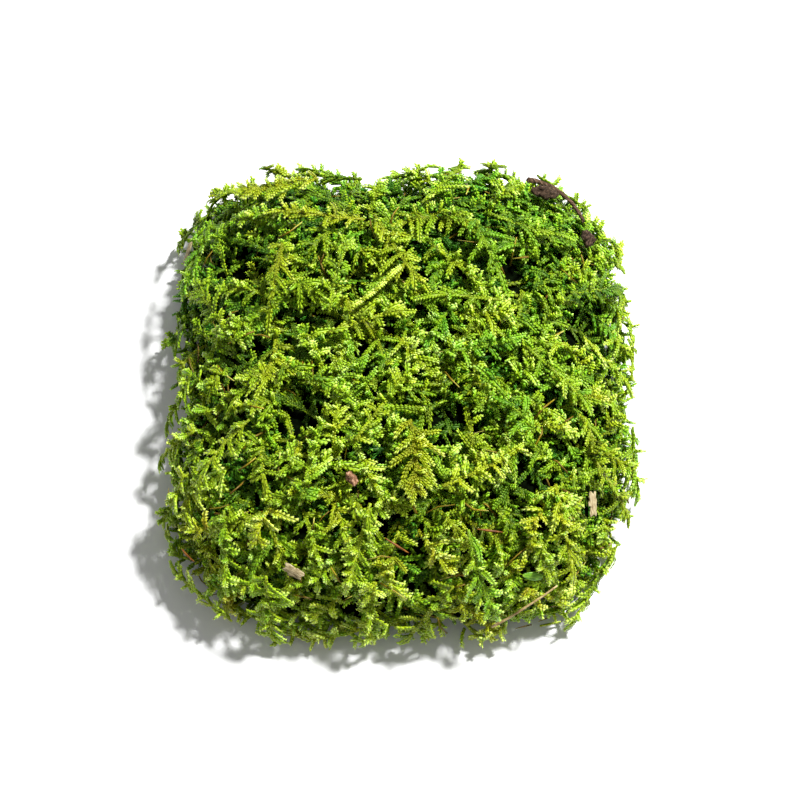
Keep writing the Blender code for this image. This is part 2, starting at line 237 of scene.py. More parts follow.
# leafy branchlets: a few prototypes, and bent copies of them joined into one mesh
# lengthwise measures are in ranks of leaves, and the others in radii of the branchlet
branchlet = {
    "seed": 3,
    "rankChoice": (3, 4, 6, 8, 10),  # ranks of leaves on the prototypes
    "pitch": 0.66 * mm,  # between ranks
    # leaves lie in rows like a plait, on both flanks and on some along the ridge
    "rows": {"plaited": (-1, 1), "beaded": (-1, 1, 0), "sparse": (-1, 1), "dead": ()},
    "every": {"plaited": 1, "beaded": 1, "sparse": 2, "dead": 1},  # ranks between the leaves of a row
    "firstLeaf": -0.1,
    "stagger": 0.25,  # how far one flank's leaves are ahead of the middle
    "leafLength": {"plaited": 2.2, "beaded": 2.2, "sparse": 2.8},
    "leafWidth": {"plaited": 0.98, "beaded": 0.88, "sparse": 1.2},
    "footSize": 0.75,  # of the leaves at the branchlet's foot
    "growth": 4,  # how fast they reach their full size
    "shortening": 0.38,  # how much shorter the leaves at the blunt tip are
    "leafThickness": 0.22,
    "leafRidge": 0.10,  # where it is highest, between its foot at -1 and its blunt end at 0.5
    "leafPlace": (0.20, 0.34),  # of its foot, aside and above the core's line
    # degrees, and how much they vary
    "leafRoll": (26, 9),  # down to its side
    "leafSpread": (15, 4),  # away from the core's line
    "leafLift": (5, 5),
    "ridgeLeaf": {"above": 0.41, "width": 0.8, "later": 0.5},
    "coreWidth": 0.55,
    "coreHeight": 0.42,
    "coreSides": 4,
    "coreTaper": 0.45,
    # tones, and painted light and shade
    "toneJitter": 0.02,
    "lightJitter": 0.07,
    "leafSideTone": 0.012,  # how much greener one side of a leaf is
    # painted light of the leaves, over the core that shows between them in painted shade
    "leafLight": 0.40,
    "leafEndHighlight": 0.18,  # painted highlight: how much lighter a leaf's end is than its middle
    "edgeLight": 0.26,  # painted highlight: how much lighter the branchlet's edges are than its ridge
    "edgeEven": 0.5,
    "coreSideTone": 0.01,
    # painted shade: the core between the leaves is darker, and lighter towards its tip and its top
    "coreLight": 0.34,
    "coreTipLight": 0.08,
    "coreTopLight": 0.02,
    "tipLight": 0.50,  # painted highlight: how much lighter the branchlet's tip is
    "tipEven": 0.3,
    "toneSlope": 0.10,  # how much greener the tip is than the foot
}


def addLeaf(bm, kind, at, side, size, shorter, chance):
    length = branchlet["leafLength"][kind] * shorter
    width = branchlet["leafWidth"][kind]
    aside, above = branchlet["leafPlace"]
    if side == 0:
        ridgeLeaf = branchlet["ridgeLeaf"]
        above = ridgeLeaf["above"]
        width *= ridgeLeaf["width"]
        at += ridgeLeaf["later"]
    roll, rollJitter = branchlet["leafRoll"]
    spread, spreadJitter = branchlet["leafSpread"]
    lift, liftJitter = branchlet["leafLift"]
    roll = side * roll + chance.uniform(-rollJitter, rollJitter)
    spread = side * spread + chance.uniform(-spreadJitter, spreadJitter)
    lift += chance.uniform(-liftJitter, liftJitter)
    place = (
        Matrix.Translation((at, side * aside * size, above * size))
        @ Matrix.Rotation(-math.radians(roll), 4, "X")
        @ Matrix.Rotation(math.radians(spread), 4, "Z")
        @ Matrix.Rotation(-math.radians(lift), 4, "Y")
        @ Matrix.Translation((length * size / 2, 0, 0))
        @ Matrix.Diagonal((length * size / 2, width * size / 2, 1, 1))
    )
    made = bmesh.ops.create_cone(
        bm, cap_ends=True, segments=3, radius1=1, radius2=0,
        depth=branchlet["leafThickness"] * size, matrix=Matrix.Rotation(math.radians(90), 4, "Z"),
    )
    tone = chance.uniform(-1, 1) * branchlet["toneJitter"]
    light = chance.uniform(-1, 1) * branchlet["lightJitter"]
    toneLayer = bm.verts.layers.float["tone"]
    lightLayer = bm.verts.layers.float["light"]
    for vert in made["verts"]:
        if vert.co.z > 0:
            vert.co.x = branchlet["leafRidge"]
        vert[toneLayer] = tone + branchlet["leafSideTone"] * vert.co.y
        # painted light: the leaf's end lighter, and the branchlet's edges lighter than its ridge
        vert[lightLayer] = light + branchlet["leafLight"] + branchlet["leafEndHighlight"] * vert.co.x
        vert.co = place @ vert.co
        vert[lightLayer] += branchlet["edgeLight"] * (abs(vert.co.y) - branchlet["edgeEven"])


def leafyPrototype(kind, ranks, seed):  # along X by one unit a rank, and a radius of 1 round it
    chance = random.Random(seed)
    bm = bmesh.new()
    toneLayer = bm.verts.layers.float.new("tone")
    lightLayer = bm.verts.layers.float.new("light")
    bmesh.ops.create_cone(
        bm, cap_ends=True, segments=branchlet["coreSides"], radius1=1, radius2=1, depth=ranks,
        matrix=Matrix.Translation((ranks / 2, 0, 0)) @ Matrix.Rotation(math.radians(90), 4, "Y"),
    )
    lengthwise = [
        edge for edge in bm.edges
        if abs(edge.verts[0].co.x - edge.verts[1].co.x) > ranks / 2
    ]
    bmesh.ops.subdivide_edges(bm, edges=lengthwise, cuts=1)
    for vert in bm.verts:
        along = vert.co.x / ranks
        taper = 1 - branchlet["coreTaper"] * along**3
        # painted shade on the core between the leaves, lighter towards its tip and its top
        tipLight = branchlet["coreTipLight"] * along
        vert[toneLayer] = branchlet["coreSideTone"] * vert.co.y
        vert[lightLayer] = branchlet["coreLight"] + tipLight + branchlet["coreTopLight"] * vert.co.z
        vert.co.y *= branchlet["coreWidth"] * taper
        vert.co.z *= branchlet["coreHeight"] * taper
    for rank in range(0, ranks, branchlet["every"][kind]):
        share = rank / ranks
        grown = min(1, share * branchlet["growth"])
        size = branchlet["footSize"] + (1 - branchlet["footSize"]) * grown
        shorter = 1 - branchlet["shortening"] * share**2
        for side in branchlet["rows"][kind]:
            at = rank + branchlet["firstLeaf"] + branchlet["stagger"] * side
            addLeaf(bm, kind, at, side, size, shorter, chance)
    bmesh.ops.triangulate(bm, faces=bm.faces[:])
    bmesh.ops.recalc_face_normals(bm, faces=bm.faces[:])
    bm.verts.index_update()
    points = np.array([vert.co[:] for vert in bm.verts]) / (ranks, 1, 1)
    tones = np.array([vert[toneLayer] for vert in bm.verts])
    lights = np.array([vert[lightLayer] for vert in bm.verts])
    prototype = {
        "points": points,
        "faces": np.array([[vert.index for vert in face.verts] for face in bm.faces]),
        "tone": tones + branchlet["toneSlope"] * (points[:, 0] - 0.5),
        # painted highlight: lighter towards the branchlet's tip
        "light": lights + branchlet["tipLight"] * (points[:, 0] ** 2 - branchlet["tipEven"]),
    }
    bm.free()
    return prototype


prototypes = {
    (kind, ranks): leafyPrototype(kind, ranks, branchlet["seed"] + ranks)
    for kind in branchlet["every"]
    for ranks in branchlet["rankChoice"]
}
counts = ", ".join(str(len(prototype["faces"])) for prototype in prototypes.values())
report(f"branchlets of {counts} triangles")


def prototypeFor(kind, length):
    ranks = length / branchlet["pitch"]
    return kind, min(branchlet["rankChoice"], key=lambda choice: abs(choice - ranks))


def bentCopies(prototype, copies):  # the points of each copy, along its own curved line
    def column(key):
        return np.array([copy[key] for copy in copies]).reshape(len(copies), 1, -1)

    along, across, upward = (prototype["points"][:, axis][None, :, None] for axis in range(3))
    ahead, out = column("ahead"), column("out")
    turning = np.cross(out, ahead) * column("sideBend") - out * column("droop")
    centre = column("base") + column("length") * (ahead * along + turning * along**2 / 2)
    heading = ahead + turning * along
    heading /= np.linalg.norm(heading, axis=2, keepdims=True)
    up = out - heading * (out * heading).sum(axis=2, keepdims=True)
    up /= np.linalg.norm(up, axis=2, keepdims=True)
    points = centre + column("radius") * (np.cross(up, heading) * across + up * upward)
    tones = column("tone")[:, :, 0] + prototype["tone"][None]
    lights = column("light")[:, :, 0] + prototype["light"][None] * column("span")[:, :, 0]
    return points.reshape(-1, 3), np.stack((tones, lights), axis=2).reshape(-1, 2)


uvMargin = 0.004  # tone and painted light stay this far inside the map's edges


def joinedCopies(name, copies, material):
    points, places, faces = [], [], []
    start = 0
    for key, prototype in prototypes.items():
        own = [copy for copy in copies if copy["prototype"] == key]
        if not own:
            continue
        madePoints, madePlaces = bentCopies(prototype, own)
        firsts = start + np.arange(len(own)) * len(prototype["points"])
        faces.append((prototype["faces"][None] + firsts[:, None, None]).reshape(-1, 3))
        points.append(madePoints)
        places.append(madePlaces)
        start += len(madePoints)
    points, places, faces = (np.concatenate(part) for part in (points, places, faces))
    mesh = bpy.data.meshes.new(name)
    mesh.vertices.add(len(points))
    mesh.vertices.foreach_set("co", points.ravel())
    mesh.loops.add(faces.size)
    mesh.loops.foreach_set("vertex_index", faces.ravel())
    mesh.polygons.add(len(faces))
    mesh.polygons.foreach_set("loop_start", np.arange(0, faces.size, 3))
    mesh.update(calc_edges=True)
    # the map holds each leaf's tone and its painted light and shade
    loopPlaces = np.clip(places, uvMargin, 1 - uvMargin)[faces.ravel()].ravel()
    for layerName in ("shade", "OFBake"):  # for the material, and for baking
        layer = mesh.uv_layers.new(name=layerName)
        layer.data.foreach_set("uv", loopPlaces)
    mesh.uv_layers["shade"].active_render = True
    mesh.shade_smooth()
    mesh.materials.append(material)
    piece = bpy.data.objects.new(name, mesh)
    bpy.context.scene.collection.objects.link(piece)
    return piece, len(faces)


# the moss stands in tufts, with deeper valleys between them, which are painted darker as shade
tufts = {"span": 11 * mm, "edge": 0.75, "depth": 4.0 * mm, "shade": 0.46, "evenAt": 0.33}

# fronds: a stem with branchlets on both its sides, and some on top
frondShape = {
    "spacing": 2.5 * mm,  # between the branchlets of one side
    "stagger": 0.25,  # spacings that one side's branchlets are ahead of the middle
    "placeJitter": 0.15,
    "lastPlace": 0.98,
    # half its width along the stem: at its foot, how fast it grows, and how it ends
    "outline": {"foot": 0.55, "growth": 1.4, "end": 1.04, "least": 0.02, "bluntness": 0.55},
    "sweep": 56,  # degrees from the stem towards its tip
    "sweepLoss": 14,  # how many fewer at the tip
    "sweepSpread": 22,
    "lengths": (0.42, 1.14),  # over the frond's own outline
    "radius": 1.08 * mm,
    "radii": (0.74, 1.12),  # over that radius
    "rise": 0.30,  # how steeply a branchlet leaves the stem
    "stray": 0.32,
    "sag": (-0.3, 1.0),  # how far its tip sinks, over its length
    "mostDroop": 1.9,
    "bend": (-0.8, 1.4),  # how much it curves towards the stem's tip
    "footDepth": 0.2 * mm,
    "shortest": 1.6 * mm,
    "lowest": 0.9 * mm,
    "highest": 1.2 * mm,  # over the canopy
    "toneSpread": 0.04,
    "lightSpread": 0.07,
}
uprightBranchlet = {
    "share": 0.58,  # of the places on the stem where one stands up
    "lengths": (2.2 * mm, 4.2 * mm),
    "lean": (0.2, 1.2),  # towards the stem's tip
    "stray": 0.6,
    "bend": 0.5,
    "curl": (0.2, 1.0),
    "radii": (0.85, 1.1),
    # painted light: the upright ones a little lighter
    "light": 0.04,
}
stemShape = {
    "radius": 0.70 * mm,
    "part": 5.5 * mm,
    "overlap": 1.1,
    "droop": 0.1,
    "tipOverlap": 1.5,
    "tipDroop": 0.6,
    "darker": 0.04,
}


def tuftFall(point):  # 0 on top of a tuft, and 1 in the valleys round it
    return min(1.0, noise.voronoi(point / tufts["span"])[0][0] / tufts["edge"]) ** 2


def branchletReach(share, halfWidth):
    outline = frondShape["outline"]
    wide = min(1.0, outline["foot"] + outline["growth"] * share)
    return halfWidth * wide * max(outline["least"], outline["end"] - share) ** outline["bluntness"]


def onStem(stem, share):  # a point of the curve through root, middle and tip, and the way ahead
    root, middle, tip = stem
    nearRoot = root * ((1 - share) * (1 - 2 * share))
    point = nearRoot + middle * (4 * share * (1 - share)) + tip * (share * (2 * share - 1))
    ahead = root * (4 * share - 3) + middle * (4 - 8 * share) + tip * (4 * share - 1)
    return point, ahead.normalized()


# one branchlet, kept over the ground and under the limit; None if that leaves it too short
def branchletCopy(frond, base, ahead, out, length, sideBend, droop, radius, tone, light):
    height = heightOver(base + (ahead - out * (droop / 2)) * length)
    limit = frondShape["highest"] - frond["depth"]
    if height > limit and droop < 0:
        length *= max(0.0, 1 - (height - limit) / length)
    elif height > limit:
        droop += 2 * (height - limit) / length
    sinking = -ahead.z + (out.z * droop - out.cross(ahead).z * sideBend) / 2
    room = base.z - frondShape["lowest"] - radius
    if sinking > 0:
        length = min(length, room / sinking)
    if room < 0 or length < frondShape["shortest"]:
        return None
    return {
        "prototype": prototypeFor(frond["kind"], length),
        "base": base[:], "ahead": ahead[:], "out": out[:],
        "length": length, "sideBend": sideBend, "droop": droop, "radius": radius,
        "tone": frond["tone"] + tone, "light": frond["light"] + light, "span": frond["span"],
    }


def spotOnFrond(frond, share):  # a point of the stem, the ways ahead and out, and the tuft's painted light and shade
    point, ahead = onStem(frond["stem"], share)
    out = slope(point).normalized()
    # painted shade: darker in the valleys between the tufts, and lighter on their tops
    light = frond.get("shade", tufts["shade"]) * (tufts["evenAt"] - tuftFall(ontoCanopy(point)))
    return point, alongCanopy(ahead, out), out, light


def sideCopy(frond, spot, share, side, chance):
    point, ahead, out, light = spot
    reach = branchletReach(share, frond["halfWidth"]) / math.sin(math.radians(frondShape["sweep"]))
    reach *= chance.uniform(*frond.get("lengths", frondShape["lengths"]))
    sweep = frondShape["sweep"] - frondShape["sweepLoss"] * share
    sweep += chance.gauss(0, frondShape["sweepSpread"])
    way = Quaternion(out, math.radians(side * sweep)) @ ahead
    way = (way + out * (frondShape["rise"] + chance.gauss(0, frondShape["stray"]))).normalized()
    fall = max(0.0, heightOver(point + way * reach) - heightOver(point))
    sag = chance.uniform(*frond.get("sag", frondShape["sag"])) * reach
    droop = min(frondShape["mostDroop"], 2 * (fall + sag / 2) / reach)
    up = (out - way * out.dot(way)).normalized()
    foot = point - out * frondShape["footDepth"]
    bend = -side * chance.uniform(*frondShape["bend"])
    radius = frondShape["radius"] * chance.uniform(*frondShape["radii"])
    tone = chance.gauss(0, frondShape["toneSpread"])
    light += chance.gauss(0, frondShape["lightSpread"])
    return branchletCopy(frond, foot, way, up, reach, bend, droop, radius, tone, light)


def uprightCopy(frond, spot, chance):
    point, ahead, out, light = spot
    lean = chance.uniform(*uprightBranchlet["lean"])
    way = out + ahead * lean + out.cross(ahead) * chance.gauss(0, uprightBranchlet["stray"])
    way.normalize()
    up = (way * way.dot(ahead) - ahead).normalized()
    foot = point - out * frondShape["footDepth"]
    length = chance.uniform(*uprightBranchlet["lengths"])
    bend = chance.gauss(0, uprightBranchlet["bend"])
    droop = -chance.uniform(*uprightBranchlet["curl"])
    radius = frondShape["radius"] * chance.uniform(*uprightBranchlet["radii"])
    tone = chance.gauss(0, frondShape["toneSpread"])
    light += chance.gauss(uprightBranchlet["light"], frondShape["lightSpread"])
    return branchletCopy(frond, foot, way, up, length, bend, droop, radius, tone, light)


def stemCopies(frond, length):  # its parts, of which the last is leafy and ends the frond
    parts = max(2, round(length / frond.get("part", stemShape["part"])))
    bareRadius = frond.get("radius", stemShape["radius"])
    copies = []
    for index in range(parts):
        start, _ = onStem(frond["stem"], index / parts)
        end, _ = onStem(frond["stem"], (index + 1) / parts)
        out = slope(start).normalized()
        way = (end - start).normalized()
        up = (out - way * out.dot(way)).normalized()
        last = index == parts - 1
        overlap = stemShape["tipOverlap"] if last else stemShape["overlap"]
        reach = (end - start).length * overlap
        droop = stemShape["tipDroop"] if last else stemShape["droop"]
        radius = frondShape["radius"] if last else bareRadius
        shade = 0 if last or "radius" in frond else -stemShape["darker"]
        copies.append(branchletCopy(frond, start, way, up, reach, 0, droop, radius, shade, shade))
    return copies


def frondCopies(frond, chance):
    root, middle, tip = frond["stem"]
    length = (middle - root).length + (tip - middle).length
    count = 0 if frond.get("bare") else round(length / frond.get("spacing", frondShape["spacing"]))
    copies = []
    for index in range(count):
        for side in (-1, 1):
            place = index + 0.5 + frondShape["stagger"] * side
            place += chance.uniform(-frondShape["placeJitter"], frondShape["placeJitter"])
            share = min(frondShape["lastPlace"], place / count)
            spot = spotOnFrond(frond, share)
            copies.append(sideCopy(frond, spot, share, side, chance))
        if chance.random() < uprightBranchlet["share"]:
            copies.append(uprightCopy(frond, spot, chance))
    copies += stemCopies(frond, length)
    return [copy for copy in copies if copy]


# tones of the solids' fronds
frondTone = {
    "mean": 0.61,
    "spread": 0.06,
    "golden": {"frond_01": 0.455, "frond_02": 0.48},
    # painted light of the solids' fronds, which lie on top of the mat
    "light": 0.08,
    "endReach": 1.0 * mm,  # of the solid's two ends, which tell its root from its tip
    "nearest": 8,  # of the solid's points, which give a point of its stem
}
goldenFan = {
    "kind": "beaded",
    "spacing": 1.5 * mm,
    "sag": (0.0, 0.35),
    "lengths": (0.9, 1.15),
    # painted light, and no painted tuft shade
    "light": 0.08,
    "shade": 0,
}


def frondOfNode(name):  # root, middle and tip of the solid's stem, and half its width
    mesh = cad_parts[name].data
    points = np.empty(len(mesh.vertices) * 3)
    mesh.vertices.foreach_get("co", points)
    points = points.reshape(-1, 3)
    centre = points.mean(axis=0)
    _, axes = np.linalg.eigh(np.cov((points - centre).T))
    along, aside = (points - centre) @ axes[:, 2], (points - centre) @ axes[:, 1]
    rear, front = along.min(), along.max()
    reach = frondTone["endReach"]
    if abs(aside[along < rear + reach]).mean() > abs(aside[along > front - reach]).mean():
        along, rear, front = -along, -front, -rear  # the stem's bare end is the slim one
    spots = []
    for at in (rear, (rear + front) / 2, front):
        nearest = np.argsort(abs(aside) + abs(along - at))[:frondTone["nearest"]]
        spots.append(Vector(points[nearest].mean(axis=0)))
    return spots, abs(aside).max()


# fronds that the mat carries between and below those of the CAD, in layers
mossCover = {
    "seed": 5,
    # space is between a layer's fronds, depth is of their middles, light is their painted shade, darker
    # for the deeper layers, and span is their range of painted light
    "layers": (
        {
            "kind": "sparse", "count": 240, "space": 6.2 * mm, "depth": 5.6 * mm,
            "tone": 0.72, "light": -0.30, "span": 0.7,
        },
        {
            "kind": "plaited", "count": 290, "space": 6.1 * mm, "depth": 3.3 * mm,
            "tone": 0.66, "light": -0.08, "span": 0.9,
        },
        {
            "kind": "plaited", "count": 240, "space": 6.6 * mm, "depth": 0.6 * mm,
            "tone": 0.615, "light": 0.05, "span": 1.0,
        },
    ),
    "tries": 4000,
    "lengths": (11 * mm, 18 * mm),
    "slenderness": (0.27, 0.37),
    "curve": 0.25,  # how far the root goes to one side, over half the length
    "outwardSpread": 42,  # degrees from straight outwards, near the rim
    "rimShare": 0.62,
    "beaded": 0.3,  # share of the plaited ones
    "rootDepth": 4.0 * mm,  # how much deeper than its middle a frond starts
    "tipDepth": 1.0 * mm,
    "hollowDepth": 1 * mm,
    # painted shade in the hollows
    "hollowShade": 0.50,
    "deepest": 7.0 * mm,
    "keptBelow": 0.7,  # share of its depth by which a frond's branchlets stay below the others
    "lowest": 0.8 * mm,
    "toneByDepth": 0.9,  # greener towards the back, by the metre
    # painted light: lighter towards the front and darker towards the back, by the metre
    "lightByDepth": -2.3,
    "toneSpread": 0.065,
    "lightSpread": 0.06,
    "sectors": 8,
}
scattering = {"top": 1.1, "nearness": 0.35, "lowest": 1.5 * mm}


def randomPlace(chance):  # on the canopy, as likely on its sides as on its top
    while True:
        x = chance.uniform(-1, 1) * canopy["halfWidth"]
        y = chance.uniform(-1, 1) * canopy["halfDepth"]
        z = chance.uniform(0, scattering["top"]) * canopy["crownHeight"]
        if abs(level(Vector((x, y, z)))) < scattering["nearness"]:
            point = ontoCanopy(Vector((x, y, z)))
            if point.z > scattering["lowest"]:
                return point


def hollowShare(point):  # 1 in the middle of a hollow, and 0 away from them
    share = 0.0
    for atX, atY, reach, rise in canopy["swells"]:
        if rise < 0:
            away = math.hypot(point.x - atX * mm, point.y - atY * mm)
            share = max(share, 1 - away / (reach * mm * canopy["hollowReach"]))
    return share


def coverFrond(middle, layer, chance):
    rim = planShare(middle.x, middle.y) > mossCover["rimShare"]
    spread = mossCover["outwardSpread"] if rim else 180
    heading = math.degrees(math.atan2(middle.y, middle.x)) + chance.uniform(-spread, spread)
    out = slope(middle).normalized()
    ahead = alongCanopy(compass(heading), out)
    length = chance.uniform(*mossCover["lengths"])
    curve = chance.uniform(-mossCover["curve"], mossCover["curve"])
    half = ahead * (length / 2)
    root = ontoCanopy(middle - (half + out.cross(ahead) * (length / 2 * curve)))
    tip = ontoCanopy(middle + half)
    hollow = hollowShare(middle)
    deeper = (mossCover["rootDepth"], 0, mossCover["tipDepth"])
    stem = []
    for spot, further in zip((root, middle, tip), deeper):
        depth = layer["depth"] + hollow * mossCover["hollowDepth"] + tuftFall(spot) * tufts["depth"]
        stem.append(spot - slope(spot).normalized() * (min(depth, mossCover["deepest"]) + further))
    if min(spot.z for spot in stem) < mossCover["lowest"]:
        return None
    light = layer["light"] + chance.gauss(0, mossCover["lightSpread"])
    # painted light, lighter towards the front
    light += mossCover["lightByDepth"] * middle.y
    halfWidth = length * chance.uniform(*mossCover["slenderness"])
    tone = layer["tone"] + chance.gauss(0, mossCover["toneSpread"])
    tone += mossCover["toneByDepth"] * middle.y
    beaded = layer["kind"] == "plaited" and chance.random() < mossCover["beaded"]
    return {
        "stem": stem,
        "halfWidth": halfWidth,
        "tone": tone,
        # painted shade, darker in the hollows
        "light": light - mossCover["hollowShade"] * hollow,
        "span": layer["span"],
        "kind": "beaded" if beaded else layer["kind"],
        "depth": (middle - stem[1]).length * mossCover["keptBelow"],
    }


def coverFronds(chance, taken):  # the top layer keeps clear of the solids' fronds too
    fronds = []
    for layer in mossCover["layers"]:
        middles = taken[:] if layer is mossCover["layers"][-1] else []
        before = len(middles)
        for _ in range(mossCover["tries"]):
            if len(middles) - before == layer["count"]:
                break
            middle = randomPlace(chance)
            if any((middle - other).length < layer["space"] for other in middles):
                continue
            frond = coverFrond(middle, layer, chance)
            if frond:
                middles.append(middle)
                fronds.append(frond)
        report(f"layer of {len(middles) - before} fronds")
    return fronds


# one long bare shoot that curves over a gap
curvedShoot = {
    "route": ((-12.0, 8.6), (-5.9, 13.0), (-1.0, 18.5)),  # x and y in mm
    "height": 2.4 * mm,
    "tone": 0.56,
    "light": 0.36,
    "span": 1.0,
    "kind": "plaited",
    "radius": 1.0 * mm,
    "part": 4.0 * mm,
    "depth": -3 * mm,  # it may rise this far over the others
    "bare": True,
    "halfWidth": 0,
}
# how far the mat's fronds stay away from the litter, the shoot, the hollows and the golden fronds
clearing = {
    "litter": 1.7 * mm,
    "shoot": 3.0 * mm,
    "shootParts": 12,
    "hollow": 2.9 * mm,
    "hollowLifts": (-2, 0, 2, 4),  # mm over the canopy
    "golden": 2.6 * mm,
}


def curvedShootFrond():
    stem = []
    for x, y in curvedShoot["route"]:
        point, out = canopyOver(x * mm, y * mm)
        stem.append(point + out * curvedShoot["height"])
    return curvedShoot | {"stem": stem}


def clearedPoints():
    points = []
    for name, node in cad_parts.items():
        if not name.startswith(("frond", "moss_mat")):
            points += [(vert.co.copy(), clearing["litter"]) for vert in node.data.vertices]
        if name in frondTone["golden"]:
            points += [(vert.co.copy(), clearing["golden"]) for vert in node.data.vertices]
    shoot = curvedShootFrond()["stem"]
    for index in range(clearing["shootParts"] + 1):
        points.append((onStem(shoot, index / clearing["shootParts"])[0], clearing["shoot"]))
    for x, y, _, rise in canopy["swells"]:
        if rise < 0:
            point, out = canopyOver(x * mm, y * mm)
            for lift in clearing["hollowLifts"]:
                points.append((point + out * lift * mm, clearing["hollow"]))
    tree = kdtree.KDTree(len(points))
    for index, (point, _) in enumerate(points):
        tree.insert(point, index)
    tree.balance()
    return tree, [room for _, room in points]


def isClear(copy, tree, rooms):
    base, ahead, out = (Vector(copy[key]) for key in ("base", "ahead", "out"))
    for share in (0.0, 0.5, 1.0):
        point = base + (ahead * share - out * (copy["droop"] * share**2 / 2)) * copy["length"]
        _, index, distance = tree.find(point)
        if distance < rooms[index]:
            return False
    return True


# thin brown stems, dead and bare, in the gaps
deadStems = {
    "count": 230,
    "seed": 9,
    "depth": (1.2 * mm, 7.5 * mm),
    "length": (3.5 * mm, 7.5 * mm),
    "rise": (-0.3, 0.5),
    "radius": 0.42 * mm,
    "radii": (0.7, 1.3),
    "bend": 1.5,
    "tone": (0.02, 0.14),
    "light": (-0.05, 0.35),
    "span": 0.8,
    "keptBelow": 0.5 * mm,
}


def deadStemCopies():
    chance = random.Random(deadStems["seed"])
    copies = []
    for _ in range(deadStems["count"]):
        point = randomPlace(chance)
        out = slope(point).normalized()
        ahead = alongCanopy(compass(chance.uniform(0, 360)), out)
        way = (ahead + out * chance.uniform(*deadStems["rise"])).normalized()
        up = (out - way * out.dot(way)).normalized()
        stem = {
            "kind": "dead",
            "tone": chance.uniform(*deadStems["tone"]),
            "light": chance.uniform(*deadStems["light"]),
            "span": deadStems["span"],
            "depth": deadStems["keptBelow"],
        }
        foot = point - out * chance.uniform(*deadStems["depth"])
        length = chance.uniform(*deadStems["length"])
        bend = chance.uniform(-1, 1) * deadStems["bend"]
        droop = chance.uniform(0, 1) * deadStems["bend"]
        radius = deadStems["radius"] * chance.uniform(*deadStems["radii"])
        copies.append(branchletCopy(stem, foot, way, up, length, bend, droop, radius, 0, 0))
    return [copy for copy in copies if copy]


mergeReach = 0.001 * mm  # for the CAD's loose triangles

# understory: the imported older shoots, seen at the cut, and in the gaps painted near-black as their
# shade
understory = {
    "inset": 8.0 * mm,
    "hollowRise": 5.0 * mm,
    "sideRise": 3.0 * mm,
    "lumps": 2.2 * mm,
    "lumpSpan": 5 * mm,
    "fibres": 0.7 * mm,
    "fibreSpan": 1.6 * mm,
    "cut": 0.05 * mm,  # points under this lie on the flat cut
    "cutShare": 0.85,  # and keep their place as far out as this
    "lowest": 0.2 * mm,
    "roughness": 0.95,
    "specular": 0.02,
    "grain": 900.0,
    "detail": 6.0,
    # painted shade: near-black for the shadow in the gaps, over the old shoots' own dark brown
    "colours": (
        (0.3, 0.0005, 0.001, 0.0004),
        (0.5, 0.0015, 0.0025, 0.0006),
        (0.62, 0.002, 0.005, 0.001),
        (0.75, 0.009, 0.006, 0.002),
    ),
}


def mergedCopy(nodeName):
    bm = bmesh.new()
    bm.from_mesh(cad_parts[nodeName].data)
    bmesh.ops.remove_doubles(bm, verts=bm.verts, dist=mergeReach)
    return bm


def addPiece(name, bm, material, smooth=True):
    mesh = bpy.data.meshes.new(name)
    bm.to_mesh(mesh)
    bm.free()
    if smooth:
        mesh.shade_smooth()
    mesh.materials.append(material)
    piece = bpy.data.objects.new(name, mesh)
    bpy.context.scene.collection.objects.link(piece)
    return piece


def understoryMaterial():
    roughness, specular = understory["roughness"], understory["specular"]
    material, tree, shader = newMaterial("old_shoots", roughness, specular)
    place = addNode(tree, "ShaderNodeTexCoord")
    fine = addNode(
        tree, "ShaderNodeTexNoise",
        Vector=place.outputs["Object"], Scale=understory["grain"], Detail=understory["detail"],
    )
    colour = colourRamp(tree, fine.outputs["Fac"], understory["colours"])
    tree.links.new(colour, shader.inputs["Base Color"])
    return material


def buildUnderstory():  # a finer copy of the mat's solid, sunk below the fronds and roughened
    bm = mergedCopy("moss_mat")
    bmesh.ops.subdivide_edges(bm, edges=bm.edges[:], cuts=1, use_grid_fill=True)
    bmesh.ops.triangulate(bm, faces=bm.faces[:])
    for vert in bm.verts:
        point = vert.co.copy()
        grounded = point.z < understory["cut"]
        if grounded and planShare(point.x, point.y) < understory["cutShare"]:
            continue
        out = slope(point).normalized()
        depth = understory["inset"] - understory["hollowRise"] * hollowShare(point)
        depth -= understory["sideRise"] * max(0.0, 1 - out.z)
        depth += understory["lumps"] * noise.noise(point / understory["lumpSpan"])
        depth += understory["fibres"] * noise.noise(point / understory["fibreSpan"])
        moved = point - out * depth
        vert.co = (moved.x, moved.y, 0 if grounded else max(understory["lowest"], moved.z))
    bmesh.ops.recalc_face_normals(bm, faces=bm.faces[:])
    # the old shoots, painted near-black as shade
    piece = addPiece("moss_mat_old_shoots", bm, understoryMaterial())
    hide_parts("moss_mat")
    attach(piece, "root")


buildUnderstory()
report("understory")

leafGreen = mossMaterial()
total = 0
middles = []
for nodeName in sorted(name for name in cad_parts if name.startswith("frond")):
    chance = random.Random(nodeName)
    spots, halfWidth = frondOfNode(nodeName)
    tone = chance.gauss(frondTone["mean"], frondTone["spread"])
    light = frondTone["light"] + chance.gauss(0, mossCover["lightSpread"])
    # painted light, lighter towards the front
    light += mossCover["lightByDepth"] * spots[1].y
    frond = {
        "stem": spots,
        "halfWidth": halfWidth,
        "tone": frondTone["golden"].get(nodeName, tone),
        "light": light,
        "span": 1.0,
        "kind": "plaited",
        "depth": 0,
    }
    if nodeName in frondTone["golden"]:
        frond |= goldenFan
    middles.append(spots[1])
    piece, triangles = joinedCopies(nodeName + "_leaves", frondCopies(frond, chance), leafGreen)
    total += triangles
    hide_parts(nodeName)
    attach(piece, "root")
report(f"fronds of the solids, {total} triangles")

